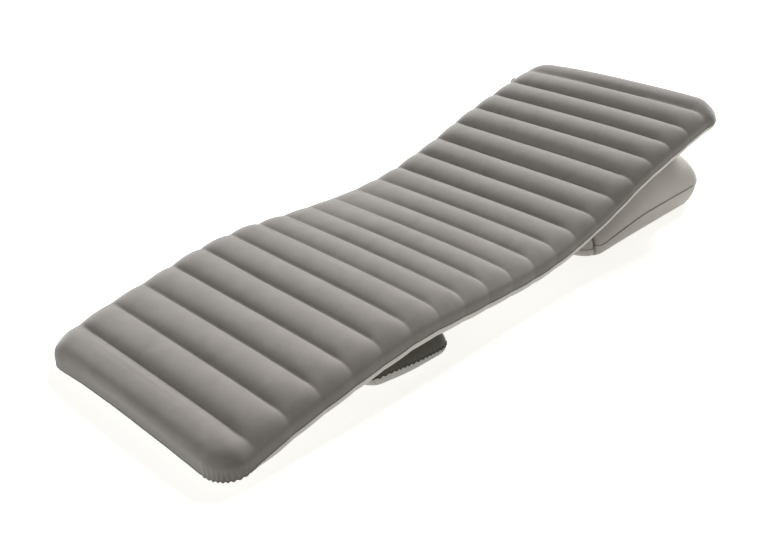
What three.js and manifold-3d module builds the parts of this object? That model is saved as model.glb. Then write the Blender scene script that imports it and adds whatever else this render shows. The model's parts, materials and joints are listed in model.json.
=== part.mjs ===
// Inflatable air mattress lying on a knee wedge and a back wedge.
// Millimetres. +X runs from the foot to the head and +Z up.
// +Y points to the right of a sleeper who lies face up.
// The origin is the centre of the footprint, on the floor.
import * as THREE from 'three';
import { mergeVertices } from 'three/addons/utils/BufferGeometryUtils.js';
import Module from 'manifold-3d';

const wasm = await Module();
wasm.setup();

// Clearances
const seatGap = 0.3; // between pieces that touch or are welded
const plugGap = 0.4; // round a plug in its hole
const cutOverrun = 1; // how far a cutting tool runs past what it cuts

// Mattress, measured along its own length while it is flat
const channelCount = 21;
const channelPitch = 95;
const mattressHalfWidth = 345; // to the widest point of the side
const mattressThickness = 100; // over the crests of the channels
const mattressCorner = 70;
const topGrooveDepth = 18;
const baseGrooveDepth = 10;
const crownRise = 3; // extra height of the crests along the middle
const grooveEndInset = 55; // from the widest point of the side
const endCrestInset = 45; // from the end to the crest of the end channel
const sideRadius = 40;
const sideCentreHeight = 48;
const mattressSeamHeight = 27;
const seamMargin = 6; // welded margin outside the seam
const flockedSheet = 1; // thickness of the flocked top sheet
const plainSheet = 0.8; // thickness of every other sheet
const shoulderAngle = 50; // degrees above level, where the side meets the top
const baseTurnAngle = 62; // degrees below level, where the side meets the underside
const shoulderCrestShare = 0.6; // how much of a channel's rise still shows on the shoulder
const floorPress = 2; // how far the foot channel is flattened by the floor

// Slope of the mattress, in degrees, at shares of its length
const slopeStationShares = [0, 0.055, 0.16, 0.26, 0.34, 0.48, 0.56, 0.65, 0.74, 0.86, 1];
const slopeDegrees = [2, 13.4, 8.7, 6.1, -2.6, -2.2, 2.9, 11.4, 19.2, 15.1, 10.1];

// Cross beams: welded strips of an I section that hold the sheets together
const beamWeb = 1;
const beamFlangeWidth = 10;
const beamFlange = 0.8;
const beamEndInset = 8; // from the end of the groove

// Wedge cushions. The thin end of each points to the foot.
const kneeWedge = {
  start: 440, // from the foot end of the mattress
  length: 298,
  halfWidth: 320,
  corner: 48,
  thinSeamHeight: 38,
  thickSeamHeight: 20,
  seamTurnStart: -40, // the seam changes height between these two stations
  seamTurnEnd: 300,
  thinTopHeight: 62,
  climbEnd: 150, // where the top has climbed from the thin height to the thick one
  thickTopHeight: 110, // before the mattress presses it lower
  endFall: 90, // the last stretch, where the top bends down
  endDrop: 4,
  topInset: 40, // from the seam in to the flat of the top
  baseInset: 20, // from the seam in to the floor
  thinCurl: 24, // how much further in the floor starts at the thin end
  rowCount: 8,
  beamShares: [0.25, 0.62],
};
const backWedge = {
  start: 1312,
  length: 703,
  halfWidth: 312,
  corner: 100,
  thinSeamHeight: 44,
  thickSeamHeight: 76,
  seamTurnStart: 20,
  seamTurnEnd: 240,
  thinTopHeight: 108,
  climbEnd: 300,
  thickTopHeight: 203,
  endFall: 260,
  endDrop: 55,
  topInset: 100,
  baseInset: 45,
  thinCurl: 32,
  rowCount: 18,
  beamShares: [0.18, 0.38, 0.58, 0.78],
};

// Screw valve in the +Y side of the mattress, near the head
const screwValve = {
  stationShare: 0.93,
  flangeRadius: 19,
  flangeThickness: 1.5,
  flangeDepth: 12, // below the widest line of the side
  neckRadius: 15,
  boreRadius: 12.5,
  neckReach: 5, // beyond the widest line of the side
  gripRadius: 17,
  gripHeight: 9,
  plugDepth: 12,
  plugWall: 2.6,
  fluteCount: 12,
  fluteRadius: 1.6,
};
const screwInlet = {
  holeRadius: 6,
  faceThickness: 7,
  barHeight: 1.5,
  barWidth: 2.4,
  stubLength: 4.8,
  stubTaper: 1.2,
  discRadius: 8.5,
  discThickness: 2.5,
  tongueReach: 16.5,
  tongueWidth: 7,
  lugLength: 3.5,
  lugHeight: 1,
  flapRadius: 8.4,
  flapThickness: 0.8,
  studRadius: 0.9,
};

// Small plug valve in the thick end of each wedge
const plugValve = {
  flangeRadius: 12,
  flangeThickness: 1.2,
  flangeDepth: 9.5, // behind the sheet at the valve's axis
  neckRadius: 9.5,
  boreRadius: 7,
  neckReach: 6, // in front of the sheet at the valve's axis
};
const plugInlet = {
  holeRadius: 4.5,
  faceThickness: 6,
  barHeight: 1.2,
  barWidth: 1.8,
  stubLength: 4,
  stubTaper: 0.9,
  discRadius: 6,
  discThickness: 2,
  tongueReach: 9.5,
  tongueWidth: 5,
  lugLength: 2.2,
  lugHeight: 0.8,
  flapRadius: 6,
  flapThickness: 0.7,
  studRadius: 0.7,
};
const kneeValveHeight = 38;
const backValveHeight = 112;
const wedgeValveOffsetShare = 0.35; // of the wedge's half width, towards +Y

const roundSegments = 24;
const cornerSegments = 3;
const spineSteps = 840;

// Materials
function finish(name, color, roughness, metalness = 0) {
  return new THREE.MeshStandardMaterial({ name, color, roughness, metalness });
}
const materials = {
  flockedTaupe: finish('flocked_taupe_pvc', 0x8a8580, 0.95),
  palePvc: finish('pale_grey_pvc', 0xaaa8a2, 0.55),
  flockedCharcoal: finish('flocked_charcoal_pvc', 0x3f3c35, 0.95),
  warmPvc: finish('warm_grey_pvc', 0xa39e98, 0.5),
  beamPvc: finish('beam_pvc', 0x9c9a95, 0.6),
  valvePlastic: finish('valve_plastic', 0x4a4a48, 0.4),
  silicone: finish('flap_silicone', 0xd8d6cf, 0.5),
};

const part = new THREE.Group();

function addPiece(name, geometry, material) {
  const mesh = new THREE.Mesh(geometry, material);
  mesh.name = name;
  part.add(mesh);
  return mesh;
}

// Solids for the joins and cuts
function toSolid(geometry) {
  const bare = geometry.clone();
  bare.deleteAttribute('normal');
  bare.deleteAttribute('uv');
  const welded = mergeVertices(bare);
  return new wasm.Manifold(new wasm.Mesh({
    numProp: 3,
    vertProperties: Float32Array.from(welded.attributes.position.array),
    triVerts: Uint32Array.from(welded.index.array),
  }));
}

function toGeometry(solid) {
  const mesh = solid.getMesh();
  const geometry = new THREE.BufferGeometry();
  geometry.setAttribute('position', new THREE.BufferAttribute(mesh.vertProperties, 3));
  geometry.setIndex(new THREE.BufferAttribute(mesh.triVerts, 1));
  return geometry;
}

function combine(first, added = [], removed = []) {
  let solid = toSolid(first);
  for (const geometry of added) solid = solid.add(toSolid(geometry));
  for (const geometry of removed) solid = solid.subtract(toSolid(geometry));
  return toGeometry(solid);
}

// The spine is the middle plane of the mattress seen from the side
const mattressLength = channelCount * channelPitch;

function slopeAt(distance) {
  const share = THREE.MathUtils.clamp(distance / mattressLength, 0, 1);
  let k = 0;
  while (k < slopeStationShares.length - 2 && share > slopeStationShares[k + 1]) k += 1;
  const ease = THREE.MathUtils.smoothstep(share, slopeStationShares[k], slopeStationShares[k + 1]);
  return THREE.MathUtils.degToRad(THREE.MathUtils.lerp(slopeDegrees[k], slopeDegrees[k + 1], ease));
}

function makeSpine() {
  const step = mattressLength / spineSteps;
  const points = [{ x: 0, z: 0 }];
  for (let k = 0; k < spineSteps; k += 1) {
    const slope = slopeAt((k + 0.5) * step);
    const last = points[k];
    points.push({ x: last.x + step * Math.cos(slope), z: last.z + step * Math.sin(slope) });
  }
  return points;
}
const spine = makeSpine();

// A point of the mattress: distance along the spine, across, and height over the underside
function bendUnlifted(distance, across, height) {
  const position = THREE.MathUtils.clamp((distance / mattressLength) * spineSteps, 0, spineSteps);
  const k = Math.min(Math.floor(position), spineSteps - 1);
  const remainder = position - k;
  const slope = slopeAt(distance);
  const x = THREE.MathUtils.lerp(spine[k].x, spine[k + 1].x, remainder);
  const z = THREE.MathUtils.lerp(spine[k].z, spine[k + 1].z, remainder);
  const rise = height - mattressThickness / 2;
  const overhang = distance - THREE.MathUtils.clamp(distance, 0, mattressLength);
  return new THREE.Vector3(
    x - rise * Math.sin(slope) + overhang * Math.cos(slope),
    across,
    z + rise * Math.cos(slope) + overhang * Math.sin(slope),
  );
}

function lowestUnderside() {
  const crests = [endCrestInset, mattressLength - endCrestInset];
  for (let k = 1; k + 1 < channelCount; k += 1) crests.push((k + 0.5) * channelPitch);
  return Math.min(...crests.map((crest) => bendUnlifted(crest, 0, 0).z));
}
const lift = -floorPress - lowestUnderside();

function bend(distance, across, height) {
  const point = bendUnlifted(distance, across, height);
  point.z += lift;
  return point;
}

function undersideHeight(x) {
  let low = 0;
  let high = spineSteps;
  const step = mattressLength / spineSteps;
  while (high - low > 1) {
    const middle = Math.floor((low + high) / 2);
    if (bend(middle * step, 0, 0).x < x) low = middle;
    else high = middle;
  }
  const before = bend(low * step, 0, 0);
  const after = bend(high * step, 0, 0);
  const share = THREE.MathUtils.clamp((x - before.x) / (after.x - before.x), 0, 1);
  return THREE.MathUtils.lerp(before.z, after.z, share);
}

// A closed loop round a plan with rounded corners, clockwise from above. It starts at the
// foot end's +Y corner.
function planLoop(plan, inset) {
  const { length, halfWidth, corner, sideStations } = plan;
  const radius = corner - inset;
  const loop = [];
  const addArc = (centreX, centreY, startAngle) => {
    for (let k = 0; k <= cornerSegments; k += 1) {
      const angle = startAngle - (k / cornerSegments) * (Math.PI / 2);
      loop.push({ x: centreX + radius * Math.cos(angle), y: centreY + radius * Math.sin(angle) });
    }
  };
  addArc(corner, halfWidth - corner, Math.PI);
  for (const x of sideStations) loop.push({ x, y: halfWidth - inset });
  addArc(length - corner, halfWidth - corner, Math.PI / 2);
  addArc(length - corner, corner - halfWidth, 0);
  for (const x of [...sideStations].reverse()) loop.push({ x, y: inset - halfWidth });
  addArc(corner, corner - halfWidth, -Math.PI / 2);
  return loop;
}

// The edge of a grid, in the same order as a plan loop
function gridEdge(rows, columns) {
  const edge = [];
  const lastRow = rows.length - 1;
  const lastColumn = columns.length - 1;
  for (let j = 1; j <= lastColumn; j += 1) edge.push([0, j]);
  for (let i = 1; i <= lastRow; i += 1) edge.push([i, lastColumn]);
  for (let j = lastColumn - 1; j >= 0; j -= 1) edge.push([lastRow, j]);
  for (let i = lastRow - 1; i >= 0; i -= 1) edge.push([i, 0]);
  return edge;
}

// How far round the grid's rectangle a point lies, from 0 to 4
function roundTrip(point, rows, columns) {
  const firstRow = rows[0];
  const lastRow = rows[rows.length - 1];
  const firstColumn = columns[0];
  const lastColumn = columns[columns.length - 1];
  const along = THREE.MathUtils.clamp((point.x - firstRow) / (lastRow - firstRow), 0, 1);
  const across = THREE.MathUtils.clamp((point.y - firstColumn) / (lastColumn - firstColumn), 0, 1);
  if (point.y <= firstColumn) return 4 - along;
  if (point.x <= firstRow) return across;
  if (point.y >= lastColumn) return 1 + along;
  return 3 - across;
}

// Triangles between two loops, the first outside the second, facing up
function zip(faces, outer, inner, outerTrips, innerTrips) {
  const tripAt = (trips, k) => trips[k % trips.length] + (k >= trips.length ? 4 : 0);
  let i = 0;
  let j = 0;
  while (i < outer.length || j < inner.length) {
    const outerNext = tripAt(outerTrips, i + 1);
    const innerNext = tripAt(innerTrips, j + 1);
    const a = outer[i % outer.length];
    const b = inner[j % inner.length];
    if (j >= inner.length || (i < outer.length && outerNext <= innerNext)) {
      i += 1;
      faces.push([a, b, outer[i % outer.length]]);
    } else {
      j += 1;
      faces.push([a, b, inner[j % inner.length]]);
    }
  }
}

function evenTrips(loop) {
  return loop.map((point, k) => (4 * k) / loop.length);
}

// One skin: rings from the edge inwards, then a grid of rows and columns, facing up
function skinFaces(rings, grid, place) {
  const faces = [];
  const placed = rings.map((ring) => ring.map((point) => place(point.x, point.y, point.z)));
  const { rows, columns, height } = grid;
  const field = rows.map((x) => columns.map((y) => place(x, y, height(x, y))));
  for (let k = 0; k + 1 < placed.length; k += 1) {
    zip(faces, placed[k], placed[k + 1], evenTrips(placed[k]), evenTrips(placed[k + 1]));
  }
  const edge = gridEdge(rows, columns);
  const lastRing = rings[rings.length - 1];
  zip(
    faces,
    placed[placed.length - 1],
    edge.map(([i, j]) => field[i][j]),
    lastRing.map((point) => roundTrip(point, rows, columns)),
    edge.map(([i, j]) => roundTrip({ x: rows[i], y: columns[j] }, rows, columns)),
  );
  for (let i = 0; i + 1 < rows.length; i += 1) {
    for (let j = 0; j + 1 < columns.length; j += 1) {
      faces.push([field[i][j], field[i + 1][j], field[i + 1][j + 1]]);
      faces.push([field[i][j], field[i + 1][j + 1], field[i][j + 1]]);
    }
  }
  return { faces, rim: placed[0] };
}

// A sheet: an upper and a lower skin, joined round their edges
function sheetGeometry(upper, lower) {
  const faces = [...upper.faces];
  for (const [a, b, c] of lower.faces) faces.push([a, c, b]);
  const count = upper.rim.length;
  for (let k = 0; k < count; k += 1) {
    const next = (k + 1) % count;
    faces.push([lower.rim[k], upper.rim[k], upper.rim[next]]);
    faces.push([lower.rim[k], upper.rim[next], lower.rim[next]]);
  }
  const geometry = new THREE.BufferGeometry();
  geometry.setFromPoints(faces.flat());
  return geometry;
}

// The channels of the mattress
function channelRise(x) {
  const fromEnd = Math.min(x, mattressLength - x);
  if (fromEnd <= endCrestInset) return 1;
  if (fromEnd < channelPitch) {
    const share = (fromEnd - endCrestInset) / (channelPitch - endCrestInset);
    return 1 - share * share;
  }
  const share = (x / channelPitch) % 1;
  return 4 * share * (1 - share);
}

function mattressRows() {
  const quarter = channelPitch / 4;
  const rows = [endCrestInset, (endCrestInset + channelPitch) / 2];
  for (let k = 4; k <= 4 * (channelCount - 1); k += 1) rows.push(k * quarter);
  rows.push(mattressLength - rows[1], mattressLength - rows[0]);
  return rows;
}

function mattressPlan() {
  const sideStations = [];
  for (let k = 1; k < 2 * channelCount; k += 1) {
    const x = (k * channelPitch) / 2;
    if (x > mattressCorner && x < mattressLength - mattressCorner) sideStations.push(x);
  }
  return {
    length: mattressLength,
    halfWidth: mattressHalfWidth,
    corner: mattressCorner,
    sideStations,
  };
}

// A ring on the round side, at an angle above level, set inside the side by a depth
function sideRing(plan, degrees, depth, scallop) {
  const angle = THREE.MathUtils.degToRad(degrees);
  const radius = sideRadius - depth;
  const inset = sideRadius - radius * Math.cos(angle);
  const height = sideCentreHeight + radius * Math.sin(angle);
  return planLoop(plan, inset).map((point) => {
    const wave = Math.abs(point.y) > plan.halfWidth - plan.corner ? channelRise(point.x) : 1;
    return { ...point, z: height + scallop * wave };
  });
}

function flatRing(plan, inset, height) {
  return planLoop(plan, inset).map((point) => ({ ...point, z: height }));
}

const mattressSeamInset = sideRadius - Math.sqrt(
  sideRadius ** 2 - (sideCentreHeight - mattressSeamHeight) ** 2,
);
const grooveEnd = mattressHalfWidth - grooveEndInset;
const grooveColumns = [-grooveEnd, 0, grooveEnd];

function mattressTopSkin(plan, depth) {
  const scallop = topGrooveDepth * shoulderCrestShare;
  const marginHeight = mattressSeamHeight + seatGap / 2 + flockedSheet - depth;
  const valley = mattressThickness - topGrooveDepth - depth;
  const rings = [
    flatRing(plan, mattressSeamInset - seamMargin, marginHeight),
    flatRing(plan, mattressSeamInset + depth, marginHeight),
    sideRing(plan, 0, depth, 0),
    sideRing(plan, shoulderAngle, depth, scallop),
  ];
  const height = (x, y) => {
    const crown = y === 0 ? 0 : -crownRise;
    return valley + (topGrooveDepth + crown) * channelRise(x);
  };
  return skinFaces(rings, { rows: mattressRows(), columns: grooveColumns, height }, bend);
}

function mattressBaseSkin(plan, depth) {
  const scallop = -baseGrooveDepth * shoulderCrestShare;
  const marginHeight = mattressSeamHeight - seatGap / 2 - plainSheet + depth;
  const rings = [
    flatRing(plan, mattressSeamInset - seamMargin, marginHeight),
    flatRing(plan, mattressSeamInset + depth, marginHeight),
    sideRing(plan, -baseTurnAngle, depth, scallop),
  ];
  const height = (x) => depth + baseGrooveDepth * (1 - channelRise(x));
  const onFloor = (x, y, z) => {
    const point = bend(x, y, z);
    point.z = Math.max(point.z, depth);
    return point;
  };
  return skinFaces(rings, { rows: mattressRows(), columns: grooveColumns, height }, onFloor);
}

// An I section standing up, run along Y and centred on the origin
function beamGeometry(height, halfLength) {
  const halfHeight = height / 2;
  const halfFlange = beamFlangeWidth / 2;
  const halfWeb = beamWeb / 2;
  const inner = halfHeight - beamFlange;
  const quarter = [
    [halfFlange, -halfHeight],
    [halfFlange, -inner],
    [halfWeb, -inner],
    [halfWeb, inner],
    [halfFlange, inner],
    [halfFlange, halfHeight],
  ];
  const mirrored = quarter.map(([x, y]) => [-x, -y]);
  const outline = new THREE.Shape([...quarter, ...mirrored].map(([x, y]) => new THREE.Vector2(x, y)));
  const geometry = new THREE.ExtrudeGeometry(outline, { depth: 2 * halfLength, bevelEnabled: false });
  geometry.translate(0, 0, -halfLength);
  geometry.rotateX(Math.PI / 2);
  return geometry;
}

function twoDigits(number) {
  return String(number).padStart(2, '0');
}

// Valves. Each is turned about Y, with Y = 0 on the face that the neck or grip starts from.
function turned(points) {
  const outline = points.map(([radius, y]) => new THREE.Vector2(radius, y));
  return new THREE.LatheGeometry([...outline, outline[0]], roundSegments);
}

function block(width, height, depth, x, y, z) {
  const geometry = new THREE.BoxGeometry(width, height, depth);
  geometry.translate(x, y, z);
  return geometry;
}

function pin(radius, length, x, y, z) {
  const geometry = new THREE.CylinderGeometry(radius, radius, length, roundSegments / 2);
  geometry.translate(x, y, z);
  return geometry;
}

// The bar across the inlet that holds the flap, and the lug that the cap hangs on
function inletDetails(inlet, faceTop) {
  const barCentre = faceTop - inlet.faceThickness + inlet.barHeight / 2;
  const barLength = 2 * (inlet.holeRadius + cutOverrun);
  const lugCentre = inlet.tongueReach - inlet.lugLength / 2;
  const bar = block(barLength, inlet.barHeight, inlet.barWidth, 0, barCentre, 0);
  const lug = block(
    inlet.lugLength,
    inlet.lugHeight + cutOverrun,
    inlet.tongueWidth,
    lugCentre,
    faceTop + (inlet.lugHeight - cutOverrun) / 2,
    0,
  );
  const studHole = pin(inlet.studRadius + seatGap, inlet.barHeight + 2 * cutOverrun, 0, barCentre, 0);
  return { added: [bar, lug], removed: [studHole] };
}

function capGeometry(inlet, faceTop) {
  const base = faceTop + seatGap;
  const top = base + inlet.discThickness;
  const stubTop = inlet.holeRadius - plugGap;
  const stub = turned([
    [0, base - inlet.stubLength],
    [stubTop - inlet.stubTaper, base - inlet.stubLength],
    [stubTop, base],
    [inlet.discRadius, base],
    [inlet.discRadius, top],
    [0, top],
  ]);
  const tongueBase = base + inlet.lugHeight;
  const tongue = block(
    inlet.tongueReach,
    top - tongueBase,
    inlet.tongueWidth,
    inlet.tongueReach / 2,
    (top + tongueBase) / 2,
    0,
  );
  return combine(stub, [tongue]);
}

function flapGeometry(inlet, faceTop) {
  const seat = faceTop - inlet.faceThickness - seatGap;
  return turned([
    [0, seat - inlet.flapThickness],
    [inlet.flapRadius, seat - inlet.flapThickness],
    [inlet.flapRadius, seat],
    [inlet.studRadius, seat],
    [inlet.studRadius, seat + seatGap + inlet.barHeight],
    [0, seat + seatGap + inlet.barHeight],
  ]);
}

function screwBaseGeometry(valve) {
  const flangeTop = -valve.flangeDepth;
  return turned([
    [valve.boreRadius, flangeTop - valve.flangeThickness],
    [valve.flangeRadius, flangeTop - valve.flangeThickness],
    [valve.flangeRadius, flangeTop],
    [valve.neckRadius, flangeTop],
    [valve.neckRadius, valve.neckReach],
    [valve.boreRadius, valve.neckReach],
  ]);
}

function stopperGeometry(valve, inlet) {
  const gripBase = valve.neckReach + seatGap;
  const faceTop = gripBase + valve.gripHeight;
  const plugRadius = valve.boreRadius - plugGap;
  const chamberRadius = plugRadius - valve.plugWall;
  const body = turned([
    [inlet.holeRadius, faceTop - inlet.faceThickness],
    [chamberRadius, faceTop - inlet.faceThickness],
    [chamberRadius, gripBase - valve.plugDepth],
    [plugRadius, gripBase - valve.plugDepth],
    [plugRadius, gripBase],
    [valve.gripRadius, gripBase],
    [valve.gripRadius, faceTop],
    [inlet.holeRadius, faceTop],
  ]);
  const details = inletDetails(inlet, faceTop);
  const flutes = [];
  for (let k = 0; k < valve.fluteCount; k += 1) {
    const angle = ((k + 0.5) / valve.fluteCount) * 2 * Math.PI;
    const x = valve.gripRadius * Math.cos(angle);
    const z = valve.gripRadius * Math.sin(angle);
    const flute = new THREE.CylinderGeometry(
      valve.fluteRadius,
      valve.fluteRadius,
      valve.gripHeight + 2 * cutOverrun,
      roundSegments / 3,
    );
    flute.translate(x, gripBase + valve.gripHeight / 2, z);
    flutes.push(flute);
  }
  return combine(body, details.added, [...details.removed, ...flutes]);
}

function plugBodyGeometry(valve, inlet) {
  const flangeTop = -valve.flangeDepth;
  const faceTop = valve.neckReach;
  const body = turned([
    [inlet.holeRadius, faceTop - inlet.faceThickness],
    [valve.boreRadius, faceTop - inlet.faceThickness],
    [valve.boreRadius, flangeTop - valve.flangeThickness],
    [valve.flangeRadius, flangeTop - valve.flangeThickness],
    [valve.flangeRadius, flangeTop],
    [valve.neckRadius, flangeTop],
    [valve.neckRadius, faceTop],
    [inlet.holeRadius, faceTop],
  ]);
  const details = inletDetails(inlet, faceTop);
  return combine(body, details.added, details.removed);
}

// A cylinder along Y that cuts the hole of a neck through the sheet round it
function neckCutter(valve) {
  const reach = valve.flangeDepth + valve.neckReach;
  const cutter = new THREE.CylinderGeometry(
    valve.neckRadius + seatGap,
    valve.neckRadius + seatGap,
    reach,
    roundSegments,
  );
  cutter.translate(0, (valve.neckReach - valve.flangeDepth) / 2, 0);
  return cutter;
}

// Wedge cushions
function wedgeParts(wedge) {
  const { start, length, halfWidth, corner, topInset, rowCount } = wedge;
  const firstRow = topInset;
  const lastRow = length - topInset;
  const seamHeight = (x) => THREE.MathUtils.lerp(
    wedge.thinSeamHeight,
    wedge.thickSeamHeight,
    THREE.MathUtils.smoothstep(x, wedge.seamTurnStart, wedge.seamTurnEnd),
  );
  const topHeight = (x) => {
    const inside = THREE.MathUtils.clamp(x, firstRow, lastRow);
    const climb = Math.min((inside - firstRow) / (wedge.climbEnd - firstRow), 1);
    const fall = Math.max(0, (inside - length + wedge.endFall) / wedge.endFall);
    const level = THREE.MathUtils.lerp(wedge.thinTopHeight, wedge.thickTopHeight, climb);
    const pressed = undersideHeight(start + inside) - seatGap;
    return Math.min(level - wedge.endDrop * fall * fall, pressed);
  };
  const rows = [];
  for (let k = 0; k <= rowCount; k += 1) {
    rows.push(THREE.MathUtils.lerp(firstRow, lastRow, k / rowCount));
  }
  const facetHeight = (x) => {
    const k = Math.min(Math.floor((rowCount * (x - firstRow)) / (lastRow - firstRow)), rowCount - 1);
    const share = (x - rows[k]) / (rows[k + 1] - rows[k]);
    return THREE.MathUtils.lerp(topHeight(rows[k]), topHeight(rows[k + 1]), share);
  };
  const plan = {
    length,
    halfWidth,
    corner,
    sideStations: rows.filter((x) => x > corner && x < length - corner),
  };
  const place = (x, y, z) => new THREE.Vector3(start + x, y, z);
  return { ...wedge, seamHeight, topHeight, facetHeight, rows, plan, place };
}

// Rings of a wedge's top sheet swell from the seam and turn in to the top
const wedgeTopRingShares = [
  { insetShare: 0.08, heightShare: 0.42 },
  { insetShare: 0.4, heightShare: 0.82 },
];
const wedgeBaseRingShares = [
  { insetShare: 0.3, heightShare: 0.42 },
  { insetShare: 1, heightShare: 0 },
];

function wedgeTopSkin(wedge, depth) {
  const { plan, seamHeight, topHeight, topInset, rows } = wedge;
  const margin = (x) => seamHeight(x) + seatGap / 2 + wedge.sheet - depth;
  const edge = (inset) => planLoop(plan, inset).map((point) => ({ ...point, z: margin(point.x) }));
  const rings = [edge(-seamMargin), edge(depth)];
  for (const { insetShare, heightShare } of wedgeTopRingShares) {
    const inset = insetShare * topInset + depth;
    rings.push(planLoop(plan, inset).map((point) => {
      const seam = seamHeight(point.x);
      const rise = topHeight(point.x) - seam;
      return { ...point, z: seam + heightShare * rise - depth * heightShare };
    }));
  }
  const columns = [topInset - plan.halfWidth, plan.halfWidth - topInset];
  const height = (x) => topHeight(x) - depth;
  return skinFaces(rings, { rows, columns, height }, wedge.place);
}

function wedgeBaseSkin(wedge, depth) {
  const { plan, seamHeight, baseInset, topInset, rows } = wedge;
  const margin = (x) => seamHeight(x) - seatGap / 2 - plainSheet + depth;
  const edge = (inset) => planLoop(plan, inset).map((point) => ({ ...point, z: margin(point.x) }));
  const rings = [edge(-seamMargin), edge(depth)];
  const curlEnd = 2 * (plan.corner + wedge.thinCurl);
  for (const { insetShare, heightShare } of wedgeBaseRingShares) {
    const inset = insetShare * baseInset + depth;
    rings.push(planLoop(plan, inset).map(({ x, y }) => {
      const curl = wedge.thinCurl * (1 - heightShare) * (1 - THREE.MathUtils.smoothstep(x, 0, curlEnd));
      return { x: x + curl, y, z: THREE.MathUtils.lerp(depth, seamHeight(x), heightShare) };
    }));
  }
  const columns = [topInset - plan.halfWidth, plan.halfWidth - topInset];
  const height = () => depth;
  return skinFaces(rings, { rows, columns, height }, wedge.place);
}

function addWedge(name, sizes, valveHeight, topMaterial, baseMaterial) {
  const wedge = wedgeParts(sizes);
  const valveAcross = wedgeValveOffsetShare * wedge.halfWidth;
  const wall = wedgeWall(wedge, valveHeight);
  const toWall = new THREE.Matrix4().makeRotationZ(-Math.PI / 2);
  toWall.setPosition(wall, valveAcross, valveHeight);
  const top = sheetGeometry(wedgeTopSkin(wedge, 0), wedgeTopSkin(wedge, wedge.sheet));
  const base = sheetGeometry(wedgeBaseSkin(wedge, plainSheet), wedgeBaseSkin(wedge, 0));
  const hole = neckCutter(plugValve).applyMatrix4(toWall);
  addPiece(`${name}_top_sheet`, combine(top, [], [hole]), topMaterial);
  addPiece(`${name}_base_sheet`, base, baseMaterial);
  sizes.beamShares.forEach((share, k) => {
    const x = share * wedge.length;
    const reach = beamFlangeWidth / 2;
    const lowestTop = Math.min(...[x - reach, x, x + reach].map(wedge.facetHeight));
    const high = lowestTop - wedge.sheet - seatGap;
    const low = plainSheet + seatGap;
    const halfLength = wedge.halfWidth - wedge.topInset - beamEndInset;
    const geometry = beamGeometry(high - low, halfLength);
    const beam = addPiece(`${name}_beam_${k + 1}`, geometry, materials.beamPvc);
    beam.position.set(wedge.start + x, 0, (high + low) / 2);
  });
  const pieces = [
    ['valve_body', plugBodyGeometry(plugValve, plugInlet), materials.valvePlastic],
    ['valve_flap', flapGeometry(plugInlet, plugValve.neckReach), materials.silicone],
    ['valve_cap', capGeometry(plugInlet, plugValve.neckReach), materials.valvePlastic],
  ];
  for (const [piece, geometry, material] of pieces) {
    const mesh = addPiece(`${name}_${piece}`, geometry, material);
    mesh.applyMatrix4(toWall);
  }
}

// Where the outer skin of the thick end lies at a height
function wedgeWall(wedge, height) {
  const seam = wedge.seamHeight(wedge.length);
  const rise = wedge.topHeight(wedge.length) - seam;
  const profile = [
    { inset: 0, z: seam },
    ...wedgeTopRingShares.map((ring) => ({
      inset: ring.insetShare * wedge.topInset,
      z: seam + ring.heightShare * rise,
    })),
    { inset: wedge.topInset, z: seam + rise },
  ];
  let k = 0;
  while (k < profile.length - 2 && height > profile[k + 1].z) k += 1;
  const share = (height - profile[k].z) / (profile[k + 1].z - profile[k].z);
  const inset = THREE.MathUtils.lerp(profile[k].inset, profile[k + 1].inset, share);
  return wedge.start + wedge.length - inset;
}

// The mattress
const plan = mattressPlan();
const valveStation = screwValve.stationShare * mattressLength;
const valveSeat = bend(valveStation, mattressHalfWidth, sideCentreHeight);
const neckHole = neckCutter(screwValve);
neckHole.translate(valveSeat.x, valveSeat.y, valveSeat.z);
const topSheet = sheetGeometry(mattressTopSkin(plan, 0), mattressTopSkin(plan, flockedSheet));
const baseSheet = sheetGeometry(mattressBaseSkin(plan, plainSheet), mattressBaseSkin(plan, 0));
addPiece('mattress_top_sheet', combine(topSheet, [], [neckHole]), materials.flockedTaupe);
addPiece('mattress_base_sheet', baseSheet, materials.palePvc);

const beamTop = mattressThickness - topGrooveDepth - flockedSheet - seatGap;
const beamBase = baseGrooveDepth + plainSheet + seatGap;
for (let k = 1; k < channelCount; k += 1) {
  const beam = addPiece(
    `mattress_beam_${twoDigits(k)}`,
    beamGeometry(beamTop - beamBase, grooveEnd - beamEndInset),
    materials.beamPvc,
  );
  beam.position.copy(bend(k * channelPitch, 0, (beamTop + beamBase) / 2));
  beam.rotation.y = -slopeAt(k * channelPitch);
}

const stopperFace = screwValve.neckReach + seatGap + screwValve.gripHeight;
const screwPieces = [
  ['mattress_valve_base', screwBaseGeometry(screwValve), materials.valvePlastic],
  ['mattress_valve_stopper', stopperGeometry(screwValve, screwInlet), materials.valvePlastic],
  ['mattress_valve_flap', flapGeometry(screwInlet, stopperFace), materials.silicone],
  ['mattress_valve_cap', capGeometry(screwInlet, stopperFace), materials.valvePlastic],
];
for (const [name, geometry, material] of screwPieces) {
  const mesh = addPiece(name, geometry, material);
  mesh.position.copy(valveSeat);
}

addWedge(
  'knee_wedge',
  { ...kneeWedge, sheet: flockedSheet },
  kneeValveHeight,
  materials.flockedCharcoal,
  materials.palePvc,
);
addWedge(
  'back_wedge',
  { ...backWedge, sheet: plainSheet },
  backValveHeight,
  materials.warmPvc,
  materials.warmPvc,
);

// The footprint is centred on the origin
const footprint = new THREE.Box3().setFromObject(part);
part.position.x = -(footprint.min.x + footprint.max.x) / 2;
part.position.y = -(footprint.min.y + footprint.max.y) / 2;

export default part;
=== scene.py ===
"""Inflatable air mattress on a knee wedge and a back wedge, in metres.

The foot end points to -X and the head end to +X. The near side is -Y and the far side +Y.
"""

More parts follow.
